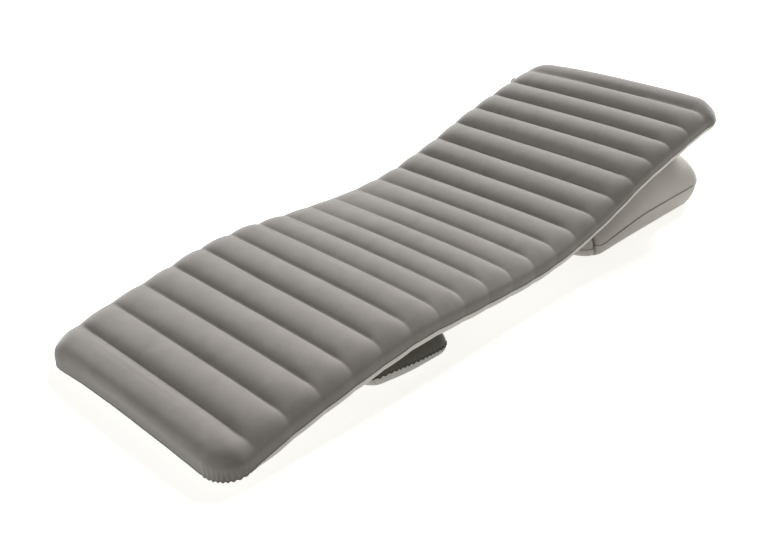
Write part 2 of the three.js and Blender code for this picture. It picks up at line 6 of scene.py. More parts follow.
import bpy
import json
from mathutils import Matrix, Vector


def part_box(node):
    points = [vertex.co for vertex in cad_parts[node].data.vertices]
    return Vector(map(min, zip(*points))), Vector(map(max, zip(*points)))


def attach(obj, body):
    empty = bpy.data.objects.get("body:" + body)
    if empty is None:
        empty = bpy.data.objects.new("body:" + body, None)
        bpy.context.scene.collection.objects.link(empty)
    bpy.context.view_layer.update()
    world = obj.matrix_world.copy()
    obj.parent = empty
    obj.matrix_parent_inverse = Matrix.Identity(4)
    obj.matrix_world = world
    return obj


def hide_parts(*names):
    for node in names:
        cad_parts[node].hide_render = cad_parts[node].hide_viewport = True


bl_info = {
    "name": "Air Mattress",
    "version": (1, 0, 0),
    "blender": (4, 5, 0),
    "location": "View3D > Sidebar > Air Mattress",
    "description": "Models an inflatable air mattress and its wedge cushions round their solids",
    "category": "Object",
}

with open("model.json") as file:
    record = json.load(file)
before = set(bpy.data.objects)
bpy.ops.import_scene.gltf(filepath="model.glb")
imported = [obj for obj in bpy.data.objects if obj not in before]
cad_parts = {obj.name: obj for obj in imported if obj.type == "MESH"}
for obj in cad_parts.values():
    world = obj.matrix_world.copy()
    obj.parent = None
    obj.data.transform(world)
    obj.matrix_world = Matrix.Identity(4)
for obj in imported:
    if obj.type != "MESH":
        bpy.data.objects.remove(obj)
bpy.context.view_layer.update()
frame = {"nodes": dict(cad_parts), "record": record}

import json
import math

import bpy
import numpy as np
from bpy.props import FloatProperty, FloatVectorProperty, IntProperty, PointerProperty
from bpy.types import Operator, Panel, PropertyGroup
from mathutils import Vector

SHEET_NODES = [name for name in frame["nodes"] if name.endswith("_sheet")]
MM = 1000  # millimetres in a metre, for the tables

# The middle line of the mattress seen from the side: its slope at shares of its length
SLOPE_SHARES = (0, 0.055, 0.16, 0.26, 0.34, 0.48, 0.56, 0.65, 0.74, 0.86, 1)
SLOPE_DEGREES = (2, 13.4, 8.7, 6.1, -2.6, -2.2, 2.9, 11.4, 19.2, 15.1, 10.1)
SPINE_STEPS = 1680

# Half sections of the mattress in millimetres: inset from the widest line, height over
# the underside on a crest, and height in a groove
TOP_SECTION = (
    (0.4, 29.75, 29.75), (0.2, 34, 34), (0, 39, 39), (0.1, 45, 45), (0.4, 51, 50.9),
    (1.2, 57.6, 57), (3.4, 65, 63.6), (7.6, 73, 70), (13, 79.8, 75.2), (20, 85.8, 79.2),
    (28, 90.4, 81.6), (37, 93.8, 82.6), (47, 96.2, 82.6), (58, 97.8, 82.3), (70, 98.8, 82.1),
)
BASE_SECTION = (
    (0.4, 28.25, 28.25), (0.8, 23.6, 23.7), (1.9, 18.2, 18.6), (4.4, 12.6, 13.4), (8.8, 8, 9.8),
    (15, 4.6, 8.2), (24, 2.2, 8.4), (36, 0.8, 9.4), (52, 0, 10), (70, 0, 10),
)
# The far side is fuller over the knee wedge and the back wedge than the near side, and
# flatter between them: millimetres at shares of the length
FAR_SHARES = (
    0, 0.05, 0.10, 0.15, 0.19, 0.24, 0.29, 0.34, 0.38, 0.43, 0.47, 0.52, 0.565, 0.62, 0.68,
    0.777, 0.86, 0.93, 1,
)
FAR_LIFTS = (
    -1, -0.5, -3.5, -2.5, 2.5, 7, 3.5, 0, -3.5, -5.5, -7, -5, -2.5, 1.5, 6, 3, -0.5, -2, -4,
)
# The mattress lies a little crooked: it bows to the far side over the back wedge, where the
# near seam also runs higher, and its grooves aren't quite evenly spaced. In millimetres
BOW_SHARES = (0, 0.40, 0.50, 0.58, 0.64, 0.70, 0.78, 0.84, 0.90, 1)
BOWS = (0, 0, 2, 6, 8.5, 9, 9, 6, 2, 0)
NEAR_SHARES = (0, 0.56, 0.64, 0.70, 0.78, 0.86, 1)
NEAR_LIFTS = (0, 0, 5, 8, 8, 5, 5)
DRIFT_SHARES = (
    0, 0.08, 0.14, 0.20, 0.26, 0.32, 0.38, 0.44, 0.50, 0.56, 0.62, 0.68, 0.74, 0.80, 0.86,
    0.93, 1,
)
DRIFTS = (0, 0, -4.5, -7, -8, -9.5, -12.5, -14.5, -13.5, -9.5, -6, -2, 1.5, 3.5, 3.5, 0.5, 0)

# Grids of the sheets: rings from the edge in to where the flat starts, the first of them on
# the flat edge outside the seam
RINGS = 24
WELD_RINGS = 2
WELD_SHARES = 1 - np.arange(WELD_RINGS) / WELD_RINGS
STEPS_PER_CHANNEL = 22
GROOVE_CROWDING = 0.06  # how much closer together the stations stand near the grooves
CORNER_COLUMNS = 5
HALF_ROWS = 27
KNEE_STEP, BACK_STEP = 0.004, 0.005  # of the grids of the wedges
CURVE_STEPS = 12  # between two given points of a section
ROUNDING = 1e-6
SMOOTH_ANGLE = 50  # degrees

# Places on the mattress between which a form sets in or dies out. Across, from the middle:
FAR_SIDE = (0.02, 0.32)
NEAR_SIDE = (0.10, 0.30)
NEAR_FALL_POWER = 6
# Along, from the foot end or the head end:
FOOT_STRETCH = (0.03, 0.15)
DRAW_STRETCH = (0.012, 0.14)
HEAD_STRETCH = (0.22, 0.06)
# In height:
TOP_HEIGHTS = (0.045, 0.080)
WALL_TOP, WALL_BLEND = 0.055, 0.027
BASE_SEAM = 0.02825
FOOT_SLOPE = 0.52  # fall of the underside per metre inwards
EAR_BASE_HEIGHTS = (0, 0.0282)
EAR_TOP_HEIGHTS = (0.040, 0.085)
EAR_TOP_TURN = 1.3  # over 1, so the wall leans in above the ears
# Inwards from the widest line:
BASE_EDGE = (0.012, 0.045)
EAR_EDGE = (0.030, 0.068)
# How far from a corner the crests are lower, and the share of that fall in the grooves
CORNER_REACH = 0.11
GROOVE_FALL_SHARE = 0.7

# Puckers of the mattress: how far they reach from a corner and up the wall, how strong they
# are between the corners and at the seam, and how deep the grooves pull the wall in
PUCKER_REACH = 0.075
PUCKER_CLIMB = 0.26
PUCKER_BETWEEN = 0.22
PUCKER_RISE = 0.55
PUCKER_EDGE_LOSS = 0.35
PUCKER_WALL = 0.65
MARGIN_PULL = 0.5
GROOVE_PULL = 0.0016
CREASE_SHARPNESS = 1.6

# Crimps and folds of the wedges
CRIMP_REACH = 0.06
CRIMP_CLIMB = 0.15
CRIMP_RISE = 0.5
CRIMP_EDGE_LOSS = 0.2
CRIMP_WALL = 0.8
FOLD_CLIMB = (0.5, 1)
FOLD_LIP, FOLD_LIP_PLACE, FOLD_LIP_WIDTH = 0.22, 0.022, 0.018

# Wedges: the typical rise spaces the rings, and the near side of the thick end is slacker
# than the far side, where the valve is
SECTION_POINTS = 19
TYPICAL_RISE = 0.08
SEAM_GAP = 0.0002
MATTRESS_GAP = 0.0005
SLACK_SIDE = (-0.03, 0.13)
TAPER_STRETCH = (-0.03, 0.19)
SWELL_REACH = 0.055
SWELL_STRETCH = (0.14, 0.07)  # from the thick end

# Holes in the sheets, a little wider than the necks of the valves
SCREW_HOLE = 0.0153
PLUG_HOLE = 0.0098
CUTTER_SIDES = 48
CUTTER_LENGTH = 0.03

# Stage. The floor lies just below the object. Azimuths are counted from +X to +Y
FLOOR_SIZE = 40
FLOOR_PLACE = (0, 0, -0.0005)
FLOOR_GLOW = (1, 0.985, 0.95, 1)
# Glow of the floor: the first part lights the object from below, the second is extra that only the
# camera and mirrors see
HIDDEN_GLOW, EXTRA_GLOW = 0.38, 0.45  # on the object, and on top of it in the camera
FILL_LIGHT = 0.215
SUNS = (  # name, azimuth, elevation, strength, angle: the key is behind the head end
    ("key_light", 18, 42, 4.7, 20),
    ("foot_light", 148, 14, 1.2, 40),
)
SUN_PLACE = (0, 0, 3)
CAMERA_PLACE = (-1.8500, -1.6158, 1.3144)
CAMERA_YAW = 44.213
CAMERA_PITCH = 28.370
SENSOR_WIDTH = 36
VIEW_DISTANCE = 60


def linear(code):
    """Linear colour of an sRGB hex code."""
    channels = [int(code[k:k + 2], 16) / 255 for k in (0, 2, 4)]
    return tuple(c / 12.92 if c <= 0.04045 else ((c + 0.055) / 1.055) ** 2.4 for c in channels)


def size(name, description, default):
    """A property that holds a length."""
    return FloatProperty(
        name=name, description=description, default=default,
        subtype="DISTANCE", unit="LENGTH", precision=4,
    )


def colour(name, description, code):
    """A property that holds a colour, from its sRGB hex code."""
    return FloatVectorProperty(
        name=name, description=description, default=linear(code),
        subtype="COLOR", size=3, min=0, max=1,
    )


class MattressSizes(PropertyGroup):
    """Sizes of the mattress"""

    channel_count: IntProperty(
        name="Channels", description="Cross channels from foot to head", default=21)
    channel_pitch: size("Channel pitch", "Distance between two grooves", 0.095)
    half_width: size("Half width", "From the middle to the widest line of the side", 0.345)
    thickness: size("Thickness", "Over the crests of the channels", 0.100)
    corner_radius: size("Corner radius", "Radius of the corners seen from above", 0.070)
    end_crest: size("End crest", "From the end to the crest of the end channel", 0.045)
    crown: size("Crown", "Extra height of the crests along the middle", 0.0012)
    arch: size("Arch", "Extra height of the whole top along the middle", 0.0040)
    weld_margin: size("Weld margin", "Flat edge outside the seam", 0.0010)
    foot_draw: size("Foot draw", "How far the seam is drawn in at the middle of the foot", 0.0065)
    foot_seam_fall: size("Foot seam fall", "How much lower the seam is at the foot end", 0.0062)
    near_fall: size("Near fall", "How much lower the near edge of the top is", 0.0060)
    foot_ear: size("Foot ear", "How far the seam stands out at the far foot corner", 0.0065)
    foot_ear_length: size("Foot ear length", "How far from a foot corner its ear reaches", 0.110)
    head_ear: size("Head ear", "How far the seam stands out at the head corners", 0.0095)
    head_ear_length: size("Head ear length", "How far from a head corner its ear reaches", 0.065)
    corner_fall: size("Corner fall", "How much lower the crests are at the corners", 0.005)
    head_rise: size("Head rise", "How much higher the head end is at the near corner", 0.0058)
    groove_depth: size("Groove depth", "From the crests to the grooves of the top", 0.018)
    groove_weld: size("Groove weld", "Half width of the flat weld in a groove", 0.0014)
    floor_press: size("Floor press", "How far the floor flattens the foot channel", 0.002)
    film: size("Film", "Thickness of the sheets", 0.0007)
    pucker_depth: size("Pucker depth", "Depth of the puckers round the corners", 0.0026)
    pucker_length: size("Pucker length", "Distance between two puckers", 0.0115)


class KneeWedgeSizes(PropertyGroup):
    """Sizes of the knee wedge"""

    start: size("Start", "From the foot end of the mattress to the thin end", 0.440)
    length: size("Length", "From the thin end to the thick end", 0.298)
    half_width: size("Half width", "From the middle to the seam", 0.316)
    weld_margin: size("Weld margin", "Flat edge outside the seam", 0.0010)
    taper: size("Taper", "How much narrower each side is at the thin end", 0.020)
    corner_radius: size("Corner radius", "Radius of the corners seen from above", 0.048)
    thin_seam: size("Thin seam height", "Height of the seam at the thin end", 0.031)
    thick_seam: size("Thick seam height", "Height of the seam at the thick end", 0.020)
    seam_turn_start: size("Seam turn start", "Where the seam starts to change height", 0.080)
    seam_turn_end: size("Seam turn end", "Where the seam has changed height", 0.320)
    thin_top: size("Thin top height", "Height of the top at the thin end", 0.062)
    thick_top: size("Thick top height", "Height that the top climbs to", 0.110)
    climb_end: size("Climb end", "Where the top has climbed", 0.150)
    end_fall: size("End fall", "Last stretch, where the top bends down", 0.090)
    end_drop: size("End drop", "How far the top bends down on the near side", 0.004)
    valve_drop: size("Valve drop", "How far it bends down on the valve's side", 0.004)
    valve_swell: size("Valve swell", "How far the end stands out round the valve", 0)
    top_inset: size("Top inset", "From the seam in to the flat of the top", 0.040)
    base_inset: size("Base inset", "From the seam in to the floor", 0.016)
    thin_curl: size("Thin curl", "How much further in the floor starts at the thin end", 0.024)
    thick_curl: size("Thick curl", "How much further in the floor starts at the thick end", 0)
    thick_lean: size("Thick lean", "How far the near side of the thick end leans in", 0.018)
    pucker_depth: size("Pucker depth", "Depth of the crimps round the corners", 0.0052)
    pucker_length: size("Pucker length", "Distance between two crimps", 0.0145)
    side_pucker: size("Side pucker", "Depth of the crimps between the corners", 0.0046)
    crease_station: size("Crease station", "From the thin end to the fold at the corner", 0.032)
    crease_depth: size("Crease depth", "Depth of the fold", 0.0060)
    crease_width: size("Crease width", "Half width of the fold", 0.0030)


class BackWedgeSizes(PropertyGroup):
    """Sizes of the back wedge"""

    start: size("Start", "From the foot end of the mattress to the thin end", 1.312)
    length: size("Length", "From the thin end to the thick end", 0.703)
    half_width: size("Half width", "From the middle to the seam", 0.312)
    weld_margin: size("Weld margin", "Flat edge outside the seam", 0.0030)
    taper: size("Taper", "How much narrower each side is at the thin end", 0)
    corner_radius: size("Corner radius", "Radius of the corners seen from above", 0.100)
    thin_seam: size("Thin seam height", "Height of the seam at the thin end", 0.044)
    thick_seam: size("Thick seam height", "Height of the seam at the thick end", 0.076)
    seam_turn_start: size("Seam turn start", "Where the seam starts to change height", -0.030)
    seam_turn_end: size("Seam turn end", "Where the seam has changed height", 0.360)
    thin_top: size("Thin top height", "Height of the top at the thin end", 0.108)
    thick_top: size("Thick top height", "Height that the top climbs to", 0.203)
    climb_end: size("Climb end", "Where the top has climbed", 0.300)
    end_fall: size("End fall", "Last stretch, where the top bends down", 0.205)
    end_drop: size("End drop", "How far the top bends down on the near side", 0.096)
    valve_drop: size("Valve drop", "How far it bends down on the valve's side", 0.050)
    valve_swell: size("Valve swell", "How far the end stands out round the valve", 0.0050)
    top_inset: size("Top inset", "From the seam in to the flat of the top", 0.100)
    base_inset: size("Base inset", "From the seam in to the floor", 0.037)
    thin_curl: size("Thin curl", "How much further in the floor starts at the thin end", 0.032)
    thick_curl: size("Thick curl", "How much further in the floor starts at the thick end", 0.012)
    thick_lean: size("Thick lean", "How far the near side of the thick end leans in", 0.012)
    pucker_depth: size("Pucker depth", "Depth of the puckers round the corners", 0.0022)
    pucker_length: size("Pucker length", "Distance between two puckers", 0.0160)
    side_pucker: size("Side pucker", "Depth of the puckers between the corners", 0.0003)
    crease_station: size("Crease station", "From the thin end to the fold at the corner", 0.063)
    crease_depth: size("Crease depth", "Depth of the fold", 0.0300)
    crease_width: size("Crease width", "Half width of the fold", 0.0038)


class Finishes(PropertyGroup):
    """Colours of the sheets and the valves"""

    taupe: colour("Taupe flock", "Flocked top of the mattress", "827D78")
    pale: colour("Pale film", "Underside of the mattress and of the knee wedge", "C9C7C1")
    charcoal: colour("Charcoal flock", "Flocked top of the knee wedge", "57544B")
    warm: colour("Warm film", "Back wedge", "B1ABA4")
    web: colour("Web film", "Cross beams inside", "9C9A95")
    valve: colour("Valve plastic", "Valve bodies, stopper and caps", "A5A29D")
    silicone: colour("Silicone", "Valve flaps", "D8D6CF")


class StageSizes(PropertyGroup):
    """Floor and camera"""

    floor: colour("Floor", "Colour of the floor", "B9B8B5")
    focal_length: FloatProperty(
        name="Focal length", description="Of the camera's lens on a 36 mm wide sensor",
        default=45.505, subtype="DISTANCE_CAMERA")


def foot_end():
    """Where the foot end and the middle line of the mattress are in the frame."""
    low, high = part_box("knee_wedge_top_sheet")
    sizes = bpy.context.scene.airbed_knee
    return (low.x + high.x - sizes.length) / 2 - sizes.start, (low.y + high.y) / 2


def mattress_length(sizes):
    """Length along the middle line, from the foot seam to the head seam."""
    return sizes.channel_count * sizes.channel_pitch


def smooth_step(value, low, high):
    """0 up to low, 1 from high, and a smooth rise between. High may be the smaller one."""
    share = np.clip((value - low) / (high - low), 0, 1)
    return share * share * (3 - 2 * share)


def bell(distance, reach):
    """1 at no distance, 0.37 at the reach and almost nothing at twice the reach."""
    return np.exp(-(distance / reach) ** 2)


class Spine:
    """Bends what is drawn flat onto the middle line of the mattress."""

    def __init__(self, sizes):
        self.length = mattress_length(sizes)
        self.thickness = sizes.thickness
        step = self.length / SPINE_STEPS
        slopes = self.slope((np.arange(SPINE_STEPS) + 0.5) * step)
        self.stations = np.arange(SPINE_STEPS + 1) * step
        self.x = np.concatenate([[0], np.cumsum(step * np.cos(slopes))])
        self.z = np.concatenate([[0], np.cumsum(step * np.sin(slopes))])
        # The lowest crest of the underside presses on the floor
        self.lift = 0
        crests = (np.arange(1, sizes.channel_count - 1) + 0.5) * sizes.channel_pitch
        crests = np.concatenate([[sizes.end_crest, self.length - sizes.end_crest], crests])
        self.lift = -sizes.floor_press - self.bend(crests, 0 * crests, 0 * crests)[:, 2].min()

    def slope(self, distance):
        """Slope of the middle line in radians at distances along it."""
        share = np.clip(distance / self.length, 0, 1)
        k = np.clip(np.searchsorted(SLOPE_SHARES, share) - 1, 0, len(SLOPE_SHARES) - 2)
        low, high = np.array(SLOPE_SHARES)[k], np.array(SLOPE_SHARES)[k + 1]
        start, end = np.array(SLOPE_DEGREES)[k], np.array(SLOPE_DEGREES)[k + 1]
        return np.radians(start + (end - start) * smooth_step(share, low, high))

    def bend(self, distance, across, height):
        """Places in the room of points drawn flat, with heights over the underside."""
        slope = self.slope(distance)
        inside = np.clip(distance, 0, self.length)
        rise = height - self.thickness / 2
        over = distance - inside
        x = np.interp(inside, self.stations, self.x) - rise * np.sin(slope) + over * np.cos(slope)
        z = np.interp(inside, self.stations, self.z) + rise * np.cos(slope) + over * np.sin(slope)
        return np.stack([x, across, z + self.lift], axis=1)

    def underside(self, x):
        """Height of the flat underside over the floor."""
        line = self.bend(self.stations, 0 * self.stations, 0 * self.stations)
        return np.interp(x, line[:, 0], line[:, 2])


def smooth_path(points, count):
    """Points at equal steps on the Catmull-Rom curve through the given ones."""
    points = np.array(points, float)
    padded = np.vstack([2 * points[0] - points[1], points, 2 * points[-1] - points[-2]])
    fine = []
    for a, b, c, d in zip(padded, padded[1:], padded[2:], padded[3:]):
        for t in np.arange(CURVE_STEPS) / CURVE_STEPS:
            fine.append(0.5 * (2 * b + (c - a) * t + (2 * a - 5 * b + 4 * c - d) * t ** 2
                               + (3 * b - a - 3 * c + d) * t ** 3))
    fine = np.array(fine + [points[-1]])
    steps = np.linalg.norm(np.diff(fine[:, :2], axis=0), axis=1)
    travel = np.concatenate([[0], np.cumsum(steps)])
    wanted = np.linspace(0, travel[-1], count)
    return np.stack([np.interp(wanted, travel, column) for column in fine.T], axis=1)


class Plan:
    """A grid spread over a rectangle with round corners, ring by ring from its edge."""

    def __init__(self, length, half_width, radius, insets, columns, rows):
        self.length, self.half_width, self.radius = length, half_width, radius
        self.insets = np.array(insets)
        self.columns = np.concatenate([np.zeros(RINGS), columns])
        self.rows = np.concatenate([np.zeros(RINGS), rows])
        self.steps_along = 2 * (len(self.columns) - 1)
        self.steps_across = 2 * (len(self.rows) - 1)

    def spread(self, i, j):
        """Plan place, ring, outward direction and distance round the edge of grid points."""
        # Worked out for one quarter of the plan, which the end mirrors to the other three
        a, b = np.minimum(i, self.steps_along - i), np.minimum(j, self.steps_across - j)
        ring = np.minimum(np.minimum(a, b), RINGS)
        inset = self.insets[ring]
        near = self.radius - inset
        steps = np.maximum(RINGS - ring, 1)
        inside = ring == RINGS
        # The rings turn the corner in two halves: one belongs to the side, one to the end
        side = ~inside & (a >= b)
        turn = np.where(side, RINGS - a, RINGS - b) / steps
        turn = np.clip(turn, 0, 1) * math.pi / 4
        along = np.where(side, self.columns[np.maximum(a, RINGS)], self.rows[np.maximum(b, RINGS)])
        far = np.where(turn > 0, self.radius - near * np.sin(turn), along)
        close = np.where(turn > 0, self.radius - near * np.cos(turn), inset)
        x = np.where(inside, self.columns[a], np.where(side, far, close))
        y = np.where(inside, self.rows[b], np.where(side, close, far))
        out_x = np.where(side, np.sin(turn), np.cos(turn)) * ~inside
        out_y = np.where(side, np.cos(turn), np.sin(turn)) * ~inside
        from_corner = self.radius * (math.pi / 4 - turn) + np.maximum(along - self.radius, 0)
        right, top = i > self.steps_along / 2, j > self.steps_across / 2
        # Distances round the edge from one corner to the next
        long_run = self.length - 2 * self.radius + self.radius * math.pi / 2
        short_run = 2 * (self.half_width - self.radius) + self.radius * math.pi / 2
        corner = np.select(
            [~right & ~top, right & ~top, right & top],
            [0 * x, long_run + 0 * x, long_run + short_run + 0 * x], 2 * long_run + short_run)
        backwards = np.where(side, right ^ top, ~(right ^ top))
        return {
            "x": np.where(right, self.length - x, x),
            "y": np.where(top, self.half_width - y, y - self.half_width),
            "ring": ring,
            "inset": np.where(inside, np.minimum(x, y), inset),
            "out_x": np.where(right, out_x, -out_x),
            "out_y": np.where(top, out_y, -out_y),
            "travel": corner + np.where(backwards, -from_corner, from_corner),
            "from_corner": from_corner,
            "side": side | (inside & (y < x)),
        }


def waves(travel, length):
    """Uneven waves from -1 to 1 with about the given length; the drift keeps them irregular."""
    drift = 1.1 * np.sin(travel / length * 0.83 + 0.4) + 0.7 * np.sin(travel / length * 0.37 + 2.1)
    return np.sin(2 * math.pi * travel / length + drift)


def new_grid(name, plan):
    """A grid primitive as one mesh object, and the grid place of each of its points."""
    bpy.ops.object.select_all(action="DESELECT")
    bpy.ops.mesh.primitive_grid_add(
        x_subdivisions=plan.steps_along, y_subdivisions=plan.steps_across, size=1)
    piece = bpy.context.object
    piece.name = piece.data.name = name
    points = np.zeros(len(piece.data.vertices) * 3)
    piece.data.vertices.foreach_get("co", points)
    points = points.reshape(-1, 3)
    i = np.rint((points[:, 0] + 0.5) * plan.steps_along).astype(int)
    j = np.rint((points[:, 1] + 0.5) * plan.steps_across).astype(int)
    return piece, i, j


def move_points(piece, points):
    """Moves the points of a mesh."""
    flat = np.ascontiguousarray(points, dtype=np.float32).ravel()
    piece.data.vertices.foreach_set("co", flat)
    piece.data.update()


def finish_sheet(piece, film, facing_down):
    """Gives the sheet its thickness on the inner side and smooth shading."""
    bpy.ops.object.select_all(action="DESELECT")
    piece.select_set(True)
    bpy.context.view_layer.objects.active = piece
    if facing_down:
        piece.data.flip_normals()
    solid = piece.modifiers.new("Film", "SOLIDIFY")
    solid.thickness = film
    solid.offset = -1
    bpy.ops.object.modifier_apply(modifier=solid.name)
    bpy.ops.object.shade_smooth_by_angle(angle=math.radians(SMOOTH_ANGLE))


def cut_hole(piece, valve_node, radius):
    """Cuts the round hole that a valve's neck stands in. The neck runs along its box's axis."""
    low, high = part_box(valve_node)
    centre = (low + high) / 2
    extent = high - low
    along_y = extent.y < extent.x
    bpy.ops.object.select_all(action="DESELECT")
    bpy.ops.mesh.primitive_cylinder_add(
        vertices=CUTTER_SIDES, radius=radius, depth=CUTTER_LENGTH, location=centre,
        rotation=(math.pi / 2, 0, 0) if along_y else (0, math.pi / 2, 0))
    cutter = bpy.context.object
    bpy.ops.object.select_all(action="DESELECT")
    piece.select_set(True)
    bpy.context.view_layer.objects.active = piece
    cut = piece.modifiers.new("Hole", "BOOLEAN")
    cut.operation = "DIFFERENCE"
    cut.object = cutter
    bpy.ops.object.modifier_apply(modifier=cut.name)
    bpy.data.objects.remove(cutter)


# Mattress
def channel_rise(x, sizes):
    """0 in the grooves between two channels and 1 on their crests."""
    pitch, weld = sizes.channel_pitch, sizes.groove_weld
    from_end = np.minimum(x, mattress_length(sizes) - x)
    share = np.clip((from_end - sizes.end_crest) / (pitch - weld - sizes.end_crest), 0, 1)
    end = 1 - share ** 2
    half = pitch / 2 - weld
    radius = (half ** 2 + sizes.groove_depth ** 2) / (2 * sizes.groove_depth)
    from_crest = np.minimum(abs(np.mod(x, pitch) - pitch / 2), half)
    arc = np.sqrt(radius ** 2 - from_crest ** 2) - (radius - sizes.groove_depth)
    return np.where(from_end < pitch, end, arc / sizes.groove_depth)


def mattress_plan(sizes, section):
    """The grid of a sheet of the mattress, and the crest and groove heights of its rings."""
    length = mattress_length(sizes)
    rings = smooth_path(np.array(section) / MM, RINGS - WELD_RINGS + 1)
    insets = np.concatenate([rings[0, 0] - sizes.weld_margin * WELD_SHARES, rings[:, 0]])
    heights = np.concatenate([[rings[0, 1:]] * WELD_RINGS, rings[:, 1:]])
    columns = list(np.linspace(sizes.corner_radius, sizes.channel_pitch, CORNER_COLUMNS))
    even = np.arange(1, STEPS_PER_CHANNEL + 1) / STEPS_PER_CHANNEL
    shares = even - GROOVE_CROWDING * np.sin(2 * math.pi * even)
    for k in range(1, sizes.channel_count // 2 + 1):
        columns += list((k + shares) * sizes.channel_pitch)
    columns = [x for x in columns if x <= length / 2 + ROUNDING]
    rows = np.linspace(sizes.corner_radius, sizes.half_width, HALF_ROWS)
    plan = Plan(length, sizes.half_width, sizes.corner_radius, insets, columns, rows)
    return plan, heights


def mattress_puckers(sizes, place):
    """Height and inward shift of the puckers along the seam, strongest at the corners."""
    at_corner = bell(place["from_corner"], PUCKER_REACH)
    wave = waves(place["travel"], sizes.pucker_length)
    climb = np.clip(place["ring"] - WELD_RINGS, 0, RINGS) / (RINGS - WELD_RINGS)
    fade = bell(climb, PUCKER_CLIMB)
    margin = place["ring"] <= WELD_RINGS
    edge = 1 - PUCKER_EDGE_LOSS * place["ring"] / WELD_RINGS
    strength = (at_corner + PUCKER_BETWEEN) * np.where(margin, edge, PUCKER_WALL * fade)
    lift = sizes.pucker_depth * PUCKER_RISE * wave * strength
    crease = np.maximum(wave, 0) ** CREASE_SHARPNESS * at_corner
    pull = sizes.pucker_depth * crease * np.where(margin, MARGIN_PULL, fade)
    groove = 1 - channel_rise(place["x"], sizes)
    pull += GROOVE_PULL * groove * np.where(place["side"], fade, 0)
    return lift, pull


def mattress_fullness(sizes, place, height, rise):
    """Arch of the top across the mattress, its lower corners and edge and its far side."""
    x, y, length = place["x"], place["y"], mattress_length(sizes)
    arch = sizes.arch * (1 - (y / sizes.half_width) ** 2)
    from_end = np.minimum(x, length - x)
    from_side = sizes.half_width - abs(y)
    near_corner = np.exp(-(from_end ** 2 + from_side ** 2) / CORNER_REACH ** 2)
    at_near_head = (x > length / 2) & (y < 0)
    fall = np.where(at_near_head, 0, sizes.corner_fall)
    fall = fall * (GROOVE_FALL_SHARE + (1 - GROOVE_FALL_SHARE) * rise)
    lift = np.interp(x / length, FAR_SHARES, FAR_LIFTS) / MM
    lift = lift * np.where(lift < 0, rise, 1) * smooth_step(y, *FAR_SIDE)
    lift = lift - sizes.near_fall * (np.minimum(y, 0) / sizes.half_width) ** NEAR_FALL_POWER
    near_share = 0.5 - 0.5 * y / sizes.half_width
    at_head = smooth_step(x, length - HEAD_STRETCH[0], length - HEAD_STRETCH[1])
    lift = lift + sizes.head_rise * near_share * at_head
    return smooth_step(height, *TOP_HEIGHTS) * (arch - fall * near_corner + lift)


def mattress_height(sizes, place, heights, facing_down):
    """Height of a sheet over the flat underside, without its puckers."""
    rise = channel_rise(place["x"], sizes)
    crest, groove = heights[place["ring"]].T
    channel = np.floor(place["x"] / sizes.channel_pitch)
    # No two crests are quite alike; the factors keep the differences from repeating
    uneven = 0.0005 * np.sin(channel * 2.4 + 1) + 0.0004 * np.sin(place["y"] * 9 + channel * 1.7)
    crown = 1 - (place["y"] / (sizes.half_width - sizes.corner_radius)) ** 2
    crowned = (place["ring"] == RINGS) & (not facing_down)
    crown = np.where(crowned, (sizes.crown + uneven) * crown, 0)
    height = groove + (crest - groove + crown) * rise
    at_foot = 1 - smooth_step(place["x"], *FOOT_STRETCH)
    if facing_down:
        near_seam = 1 - smooth_step(place["inset"], *BASE_EDGE)
        # At the foot end the underside slopes up to the seam, which hides it
        slope = BASE_SEAM - FOOT_SLOPE * place["inset"]
        height = height + at_foot * np.maximum(0, slope - height)
        to_seam = np.clip(height / BASE_SEAM, 0, 1)
    else:
        near_seam = to_seam = np.clip((WALL_TOP - height) / WALL_BLEND, 0, 1)
        height = height + mattress_fullness(sizes, place, height, rise)
    height = height - sizes.foot_seam_fall * at_foot * to_seam
    share = place["x"] / mattress_length(sizes)
    near_lift = np.interp(share, NEAR_SHARES, NEAR_LIFTS) / MM
    return height + near_lift * smooth_step(-place["y"], *NEAR_SIDE) * near_seam


def mattress_ears(sizes, place, height, facing_down):
    """How far the lower wall stands out at the corners, where the seam isn't drawn in."""
    at_head = place["x"] > mattress_length(sizes) / 2
    depth = np.where(at_head, sizes.head_ear, sizes.foot_ear * (place["y"] > 0))
    reach = np.where(at_head, sizes.head_ear_length, sizes.foot_ear_length)
    ear = depth * bell(place["from_corner"], reach)
    at_foot = 1 - smooth_step(place["x"], *DRAW_STRETCH)
    ear = ear - sizes.foot_draw * at_foot * (1 - (place["y"] / sizes.half_width) ** 2)
    if facing_down:
        weight = smooth_step(height, *EAR_BASE_HEIGHTS)
    else:
        weight = 1 - EAR_TOP_TURN * smooth_step(height, *EAR_TOP_HEIGHTS)
    return ear * weight * (1 - smooth_step(place["inset"], *EAR_EDGE))


def mattress_sheet(name, section, facing_down):
    """One sheet of the mattress, drawn flat and bent onto its middle line."""
    sizes = bpy.context.scene.airbed_mattress
    plan, heights = mattress_plan(sizes, section)
    piece, i, j = new_grid(name, plan)
    place = plan.spread(i, j)
    height = mattress_height(sizes, place, heights, facing_down)
    lift, pull = mattress_puckers(sizes, place)
    pull = pull - mattress_ears(sizes, place, height, facing_down)
    share = place["x"] / mattress_length(sizes)
    drift, bow = np.interp(share, DRIFT_SHARES, DRIFTS), np.interp(share, BOW_SHARES, BOWS)
    x = place["x"] - pull * place["out_x"] + drift / MM
    y = place["y"] - pull * place["out_y"] + bow / MM
    points = Spine(sizes).bend(x, y, height + lift)
    if facing_down:
        points[:, 2] = np.maximum(points[:, 2], 0)
    move_points(piece, points + (*foot_end(), 0))
    finish_sheet(piece, sizes.film, facing_down)
    return piece


# Wedges
def near_slack(y):
    """1 on the near side of a wedge and 0 on the far side, where the valve holds the end full."""
    return smooth_step(-y, *SLACK_SIDE)


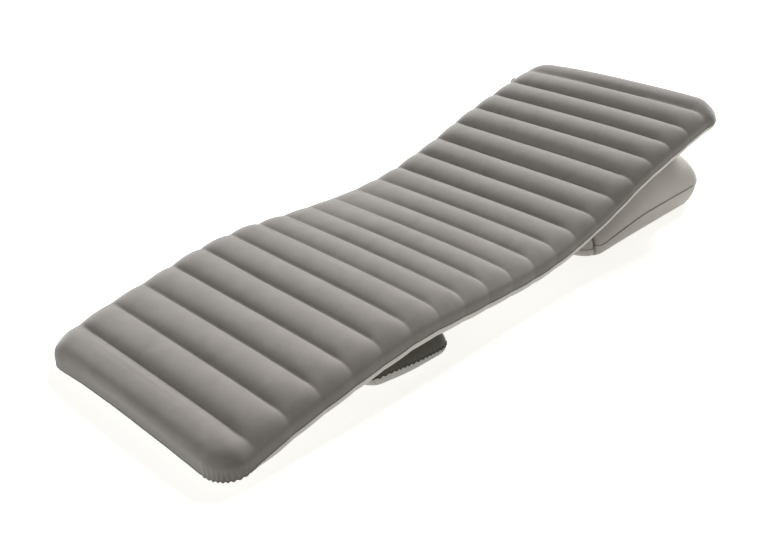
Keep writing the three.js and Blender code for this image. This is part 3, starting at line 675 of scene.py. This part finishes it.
def wedge_heights(sizes, x, y):
    """Height of the seam and of the top of a wedge. The mattress presses the top down."""
    mattress = bpy.context.scene.airbed_mattress
    seam_turn = smooth_step(x, sizes.seam_turn_start, sizes.seam_turn_end)
    seam = sizes.thin_seam + (sizes.thick_seam - sizes.thin_seam) * seam_turn
    inside = np.clip(x, sizes.top_inset, sizes.length - sizes.top_inset)
    climb = np.minimum((inside - sizes.top_inset) / (sizes.climb_end - sizes.top_inset), 1)
    fall = np.maximum(0, (x - sizes.length + sizes.end_fall) / sizes.end_fall)
    drop = sizes.valve_drop + (sizes.end_drop - sizes.valve_drop) * near_slack(y)
    level = sizes.thin_top + (sizes.thick_top - sizes.thin_top) * climb - drop * fall ** 2
    pressed = Spine(mattress).underside(sizes.start + inside) - MATTRESS_GAP
    return seam, np.minimum(level, pressed)


def wedge_plan(sizes, facing_down, step):
    """The grid of a sheet of a wedge, and the share of the rise that each ring has reached.

    From the seam in, the section is a quarter of an ellipse and then flat.
    """
    radius = sizes.corner_radius
    inset = sizes.base_inset if facing_down else min(sizes.top_inset, radius)
    section = [(inset * (1 - math.cos(a)), TYPICAL_RISE * math.sin(a))
               for a in np.linspace(0, math.pi / 2, SECTION_POINTS)]
    if inset < radius:
        section.append((radius, TYPICAL_RISE))
    rings = smooth_path(section, RINGS - WELD_RINGS + 1)
    insets = np.concatenate([-sizes.weld_margin * WELD_SHARES, rings[:, 0]])
    shares = np.concatenate([[0] * WELD_RINGS, rings[:, 1]]) / TYPICAL_RISE
    columns, rows = [
        np.linspace(radius, half, 2 * round((half - radius) / step / 2) + 1)
        for half in (sizes.length / 2, sizes.half_width)]
    plan = Plan(sizes.length, sizes.half_width, radius, insets, columns, rows)
    return plan, np.clip(shares, 0, 1)


def wedge_creases(sizes, place, share):
    """Height and inward shift of the crimps along the seam, with the fold at the thin end."""
    margin = place["ring"] <= WELD_RINGS
    wave = waves(place["travel"], sizes.pucker_length)
    edge = 1 - CRIMP_EDGE_LOSS * place["ring"] / WELD_RINGS
    fade = np.where(margin, edge, CRIMP_WALL * bell(share, CRIMP_CLIMB))
    at_corner = bell(place["from_corner"], CRIMP_REACH)
    depth = sizes.side_pucker + (sizes.pucker_depth - sizes.side_pucker) * at_corner
    lift = CRIMP_RISE * depth * wave * fade
    pull = depth * np.maximum(wave, 0) ** CREASE_SHARPNESS * fade * ~margin
    from_fold = place["x"] - sizes.crease_station
    fold = 1 / (1 + (from_fold / sizes.crease_width) ** 2)
    fold = fold - FOLD_LIP * bell(from_fold + FOLD_LIP_PLACE, FOLD_LIP_WIDTH)
    low = 1 - smooth_step(share, *FOLD_CLIMB)
    return lift, pull + sizes.crease_depth * fold * low * abs(place["out_y"])


def valve_swell(sizes, valve_node, x, y, height):
    """How far the thick end stands out round its valve."""
    low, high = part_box(valve_node)
    centre = (low + high) / 2
    reach = np.exp(-((y - centre.y) ** 2 + (height - centre.z) ** 2) / SWELL_REACH ** 2)
    start, end = [sizes.length - distance for distance in SWELL_STRETCH]
    return sizes.valve_swell * reach * smooth_step(x, start, end)


def wedge_sheet(name, sizes, facing_down, step, valve_node=None):
    """One sheet of a wedge, from its seam to the flat of its top or to the floor."""
    film = bpy.context.scene.airbed_mattress.film
    plan, shares = wedge_plan(sizes, facing_down, step)
    piece, i, j = new_grid(name, plan)
    place = plan.spread(i, j)
    share = shares[place["ring"]]
    seam, top = wedge_heights(sizes, place["x"], place["y"])
    film_gap = (film + SEAM_GAP) * (-1 if facing_down else 1)
    goal = 0 if facing_down else top
    height = seam + (goal - seam) * share + film_gap * (1 - share)
    lift, pull = wedge_creases(sizes, place, share)
    height = np.maximum(height + lift, 0)
    thin, thick = sizes.thin_curl, sizes.thick_curl
    if not facing_down:
        thin, thick = 0, sizes.thick_lean * near_slack(place["y"])
    radius = sizes.corner_radius
    curl = thin * share * (1 - smooth_step(place["x"], 0, 2 * (radius + thin)))
    curl -= thick * share * smooth_step(sizes.length - place["x"], 2 * (radius + thick), 0)
    narrow = sizes.taper * (1 - smooth_step(place["x"], *TAPER_STRETCH)) / sizes.half_width
    start, middle = foot_end()
    x = start + sizes.start + (place["x"] - pull * place["out_x"] + curl)
    y = middle + (place["y"] - pull * place["out_y"]) * (1 - narrow)
    if valve_node:
        x = x + valve_swell(sizes, valve_node, place["x"], y, height)
    move_points(piece, np.stack([x, y, height], axis=1))
    finish_sheet(piece, film, facing_down)
    return piece


# Materials
def add_node(tree, kind, settings=None, values=None, links=None):
    """Adds a node, sets it and its inputs, and links its inputs to other nodes' outputs."""
    node = tree.nodes.new(kind)
    for key, value in (settings or {}).items():
        setattr(node, key, value)
    for key, value in (values or {}).items():
        node.inputs[key].default_value = value
    for key, output in (links or {}).items():
        tree.links.new(output, node.inputs[key])
    return node


def new_material(name):
    """An empty material, its node tree and the object's coordinates."""
    material = bpy.data.materials.new(name)
    material.use_nodes = True
    tree = material.node_tree
    tree.nodes.clear()
    place = add_node(tree, "ShaderNodeTexCoord").outputs["Object"]
    return material, tree, place


def close_material(tree, shader):
    """Links a shader to the material's output."""
    add_node(tree, "ShaderNodeOutputMaterial", links={"Surface": shader.outputs["BSDF"]})


def tone_ramp(tree, factor, base, dark, light, start=0, end=1):
    """Goes from a darker to a lighter share of the base colour as the factor rises."""
    ramp = add_node(tree, "ShaderNodeValToRGB", links={"Fac": factor})
    for element, place, share in zip(ramp.color_ramp.elements, (start, end), (dark, light)):
        element.position = place
        element.color = (*[min(1, c * share) for c in base], 1)
    return ramp.outputs["Color"]


def bump(tree, height, strength, distance):
    """Normals of a relief with the given height."""
    node = add_node(tree, "ShaderNodeBump", values={"Strength": strength, "Distance": distance},
                    links={"Height": height})
    return node.outputs["Normal"]


# Flocked PVC: short rayon fibres stuck upright on calendered film. They scatter the light,
# so the surface has no gloss, a soft bright rim, and cloudy patches where the nap leans.
def flocked_pvc(name, base):
    material, tree, place = new_material(name)
    nap = add_node(tree, "ShaderNodeTexNoise", values={
        "Scale": 1 / 0.055, "Detail": 3, "Roughness": 0.55, "Distortion": 0.6},
        links={"Vector": place})
    # Fibre tufts are about 1 mm across; they are drawn 4 mm across so that they show
    tufts = add_node(tree, "ShaderNodeTexNoise", values={
        "Scale": 1 / 0.004, "Detail": 5, "Roughness": 0.7}, links={"Vector": place})
    both = add_node(tree, "ShaderNodeMix", {"data_type": "FLOAT"}, {"Factor": 0.45}, {
        "A": nap.outputs["Fac"], "B": tufts.outputs["Fac"]})
    tone = tone_ramp(tree, both.outputs["Result"], base, 0.86, 1.12, 0.30, 0.70)
    shader = add_node(tree, "ShaderNodeBsdfPrincipled", values={
        "Roughness": 0.95, "Specular IOR Level": 0.2,
        "Sheen Weight": 0.6, "Sheen Roughness": 0.45},
        links={"Base Color": tone, "Normal": bump(tree, tufts.outputs["Fac"], 0.25, 0.0006)})
    close_material(tree, shader)
    return material


# Calendered PVC film: rolled smooth with a very fine grain, slightly waxy. It shows soft
# broad highlights and small waves where the air pulls it tight.
def calendered_pvc(name, base, gloss):
    material, tree, place = new_material(name)
    cloud = add_node(tree, "ShaderNodeTexNoise", values={
        "Scale": 1 / 0.09, "Detail": 2, "Roughness": 0.5}, links={"Vector": place})
    # The roll's grain is about 0.3 mm; it is drawn at 1.5 mm so that it shows
    grain = add_node(tree, "ShaderNodeTexVoronoi", values={"Scale": 1 / 0.0015},
                     links={"Vector": place})
    tone = tone_ramp(tree, cloud.outputs["Fac"], base, 0.94, 1.05, 0.3, 0.7)
    rough = add_node(tree, "ShaderNodeMapRange", values={
        "To Min": gloss - 0.05, "To Max": gloss + 0.07}, links={"Value": cloud.outputs["Fac"]})
    shader = add_node(tree, "ShaderNodeBsdfPrincipled", values={"IOR": 1.53}, links={
        "Base Color": tone, "Roughness": rough.outputs["Result"],
        "Normal": bump(tree, grain.outputs["Distance"], 0.12, 0.0002)})
    close_material(tree, shader)
    return material


# Injection-moulded ABS or TPU with a spark-eroded matt texture
def moulded_plastic(name, base):
    material, tree, place = new_material(name)
    grain = add_node(tree, "ShaderNodeTexNoise", values={
        "Scale": 1 / 0.0006, "Detail": 2}, links={"Vector": place})
    tone = tone_ramp(tree, grain.outputs["Fac"], base, 0.9, 1.1)
    shader = add_node(tree, "ShaderNodeBsdfPrincipled", values={"Roughness": 0.42, "IOR": 1.5},
        links={"Base Color": tone, "Normal": bump(tree, grain.outputs["Fac"], 0.2, 0.0001)})
    close_material(tree, shader)
    return material


# Cast silicone: soft, milky and slightly see-through
def cast_silicone(name, base):
    material, tree, place = new_material(name)
    cloud = add_node(tree, "ShaderNodeTexNoise", values={"Scale": 1 / 0.004},
                     links={"Vector": place})
    tone = tone_ramp(tree, cloud.outputs["Fac"], base, 0.92, 1.04)
    shader = add_node(tree, "ShaderNodeBsdfPrincipled", values={
        "Roughness": 0.5, "IOR": 1.41, "Subsurface Weight": 0.2, "Subsurface Scale": 0.002},
        links={"Base Color": tone})
    close_material(tree, shader)
    return material


# Painted plaster board. It glows faintly for every ray, which lights the object from below, and
# glows more where the camera and mirrors see it, so what the camera sees of the floor is
# overexposed, as in a product photograph, and keeps the object's shadow.
def studio_floor(name, base):
    material, tree, _ = new_material(name)
    path = add_node(tree, "ShaderNodeLightPath")
    seen = add_node(tree, "ShaderNodeMath", {"operation": "MAXIMUM"}, links={
        0: path.outputs["Is Camera Ray"], 1: path.outputs["Is Glossy Ray"]})
    glow = add_node(tree, "ShaderNodeMath", {"operation": "MULTIPLY_ADD"},
                    {1: EXTRA_GLOW, 2: HIDDEN_GLOW}, {0: seen.outputs[0]})
    shader = add_node(tree, "ShaderNodeBsdfPrincipled", values={
        "Base Color": (*base, 1), "Roughness": 0.9, "Specular IOR Level": 0.1,
        "Emission Color": FLOOR_GLOW}, links={"Emission Strength": glow.outputs[0]})
    close_material(tree, shader)
    return material


def material_for(slot):
    """The material of a slot of the record, made once."""
    made = bpy.data.materials.get(f"airbed {slot}")
    if made:
        return made
    colours = bpy.context.scene.airbed_finishes
    recipes = {
        "flocked_taupe": lambda name: flocked_pvc(name, colours.taupe),
        "flocked_charcoal": lambda name: flocked_pvc(name, colours.charcoal),
        "pale_pvc": lambda name: calendered_pvc(name, colours.pale, 0.5),
        "warm_pvc": lambda name: calendered_pvc(name, colours.warm, 0.42),
        "beam_pvc": lambda name: calendered_pvc(name, colours.web, 0.55),
        "valve_plastic": lambda name: moulded_plastic(name, colours.valve),
        "flap_silicone": lambda name: cast_silicone(name, colours.silicone),
    }
    return recipes[slot](f"airbed {slot}")


def place_sheet(piece, body, node, slot):
    """Puts a finished sheet on its body, in place of its plain solid."""
    piece.data.materials.clear()
    piece.data.materials.append(material_for(slot))
    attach(piece, body)
    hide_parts(node)


# Stage
def make_floor(stage):
    """The studio floor under the object."""
    bpy.ops.object.select_all(action="DESELECT")
    bpy.ops.mesh.primitive_plane_add(size=FLOOR_SIZE, location=FLOOR_PLACE)
    floor = bpy.context.object
    floor.name = "floor"
    floor.data.materials.append(studio_floor("matt studio floor", stage.floor))


def make_world():
    """A weak fill light that the camera, mirrors and clear things see as white."""
    world = bpy.data.worlds.new("studio")
    bpy.context.scene.world = world
    world.use_nodes = True
    tree = world.node_tree
    tree.nodes.clear()
    path = add_node(tree, "ShaderNodeLightPath")
    through = add_node(tree, "ShaderNodeMath", {"operation": "MAXIMUM"}, links={
        0: path.outputs["Is Camera Ray"], 1: path.outputs["Is Transmission Ray"]})
    seen = add_node(tree, "ShaderNodeMath", {"operation": "MAXIMUM"}, links={
        0: through.outputs[0], 1: path.outputs["Is Glossy Ray"]})
    strength = add_node(tree, "ShaderNodeMix", {"data_type": "FLOAT"},
                        {"A": FILL_LIGHT, "B": 1.0}, {"Factor": seen.outputs[0]})
    sky = add_node(tree, "ShaderNodeBackground", values={"Color": (1, 1, 1, 1)},
                   links={"Strength": strength.outputs["Result"]})
    add_node(tree, "ShaderNodeOutputWorld", links={"Surface": sky.outputs["Background"]})


def make_suns():
    """A key light over the head end and a weaker one from the far side of the foot end."""
    for name, azimuth, elevation, strength, softness in SUNS:
        bpy.ops.object.light_add(type="SUN", location=SUN_PLACE)
        light = bpy.context.object
        light.name = name
        light.data.energy = strength
        light.data.angle = math.radians(softness)
        turn, lift = math.radians(azimuth), math.radians(elevation)
        source = Vector((
            math.cos(turn) * math.cos(lift), math.sin(turn) * math.cos(lift), math.sin(lift)))
        light.rotation_euler = source.to_track_quat("Z", "Y").to_euler()


def make_camera(stage):
    """The camera of the photo, over the near side of the foot end."""
    bpy.ops.object.camera_add(location=CAMERA_PLACE)
    camera = bpy.context.object
    yaw, pitch = math.radians(CAMERA_YAW), math.radians(CAMERA_PITCH)
    camera.rotation_euler = (math.pi / 2 - pitch, 0, yaw - math.pi / 2)
    camera.data.sensor_width = SENSOR_WIDTH
    camera.data.lens = stage.focal_length
    camera.data.clip_end = VIEW_DISTANCE
    bpy.context.scene.camera = camera


class AIRBED_OT_mattress(Operator):
    """Models the top and the base sheet of the mattress"""

    bl_idname = "airbed.mattress"
    bl_label = "Mattress"

    def execute(self, context):
        top = mattress_sheet("mattress_top", TOP_SECTION, False)
        cut_hole(top, "mattress_valve_base", SCREW_HOLE)
        base = mattress_sheet("mattress_base", BASE_SECTION, True)
        place_sheet(top, "mattress", "mattress_top_sheet", "flocked_taupe")
        place_sheet(base, "mattress", "mattress_base_sheet", "pale_pvc")
        return {"FINISHED"}


class AIRBED_OT_knee_wedge(Operator):
    """Models the two sheets of the knee wedge"""

    bl_idname = "airbed.knee_wedge"
    bl_label = "Knee wedge"

    def execute(self, context):
        sizes = context.scene.airbed_knee
        top = wedge_sheet("knee_wedge_top", sizes, False, KNEE_STEP, "knee_wedge_valve_body")
        cut_hole(top, "knee_wedge_valve_body", PLUG_HOLE)
        base = wedge_sheet("knee_wedge_base", sizes, True, KNEE_STEP)
        place_sheet(top, "knee_wedge", "knee_wedge_top_sheet", "flocked_charcoal")
        place_sheet(base, "knee_wedge", "knee_wedge_base_sheet", "pale_pvc")
        return {"FINISHED"}


class AIRBED_OT_back_wedge(Operator):
    """Models the two sheets of the back wedge"""

    bl_idname = "airbed.back_wedge"
    bl_label = "Back wedge"

    def execute(self, context):
        sizes = context.scene.airbed_back
        top = wedge_sheet("back_wedge_top", sizes, False, BACK_STEP, "back_wedge_valve_body")
        cut_hole(top, "back_wedge_valve_body", PLUG_HOLE)
        base = wedge_sheet("back_wedge_base", sizes, True, BACK_STEP)
        place_sheet(top, "back_wedge", "back_wedge_top_sheet", "warm_pvc")
        place_sheet(base, "back_wedge", "back_wedge_base_sheet", "warm_pvc")
        return {"FINISHED"}


class AIRBED_OT_fittings(Operator):
    """Finishes the valves and the cross beams, whose solids stay"""

    bl_idname = "airbed.fittings"
    bl_label = "Valves and beams"

    def execute(self, context):
        slots = {row["node"]: row["material_slot"] for row in frame["record"]["subparts"]}
        for name, node in frame["nodes"].items():
            if name in SHEET_NODES:
                continue
            node.data.materials.clear()
            node.data.materials.append(material_for(slots[name]))
        return {"FINISHED"}


class AIRBED_OT_stage(Operator):
    """Makes the floor, the lights and the camera"""

    bl_idname = "airbed.stage"
    bl_label = "Stage"

    def execute(self, context):
        stage = context.scene.airbed_stage
        make_floor(stage)
        make_world()
        make_suns()
        make_camera(stage)
        context.scene.view_settings.view_transform = "Standard"
        return {"FINISHED"}


class AIRBED_PT_panel(Panel):
    """Sizes and pieces of the air mattress"""

    bl_label = "Air Mattress"
    bl_idname = "AIRBED_PT_panel"
    bl_space_type = "VIEW_3D"
    bl_region_type = "UI"
    bl_category = "Air Mattress"

    def draw(self, context):
        for group in GROUPS:
            box = self.layout.box()
            settings = getattr(context.scene, group)
            for name in settings.bl_rna.properties.keys():
                if name not in {"rna_type", "name"}:
                    box.prop(settings, name)
        for operator in OPERATORS:
            self.layout.operator(operator.bl_idname)


GROUPS = {
    "airbed_mattress": MattressSizes,
    "airbed_knee": KneeWedgeSizes,
    "airbed_back": BackWedgeSizes,
    "airbed_finishes": Finishes,
    "airbed_stage": StageSizes,
}
OPERATORS = (
    AIRBED_OT_mattress,
    AIRBED_OT_knee_wedge,
    AIRBED_OT_back_wedge,
    AIRBED_OT_fittings,
    AIRBED_OT_stage,
)


def register():
    for name, group in GROUPS.items():
        bpy.utils.register_class(group)
        setattr(bpy.types.Scene, name, PointerProperty(type=group))
    for operator in OPERATORS:
        bpy.utils.register_class(operator)
    bpy.utils.register_class(AIRBED_PT_panel)


def unregister():
    bpy.utils.unregister_class(AIRBED_PT_panel)
    for operator in reversed(OPERATORS):
        bpy.utils.unregister_class(operator)
    for name, group in GROUPS.items():
        delattr(bpy.types.Scene, name)
        bpy.utils.unregister_class(group)


def main():
    register()
    bpy.ops.airbed.mattress()
    bpy.ops.airbed.knee_wedge()
    bpy.ops.airbed.back_wedge()
    bpy.ops.airbed.fittings()
    bpy.ops.airbed.stage()


if __name__ == "__main__":
    main()
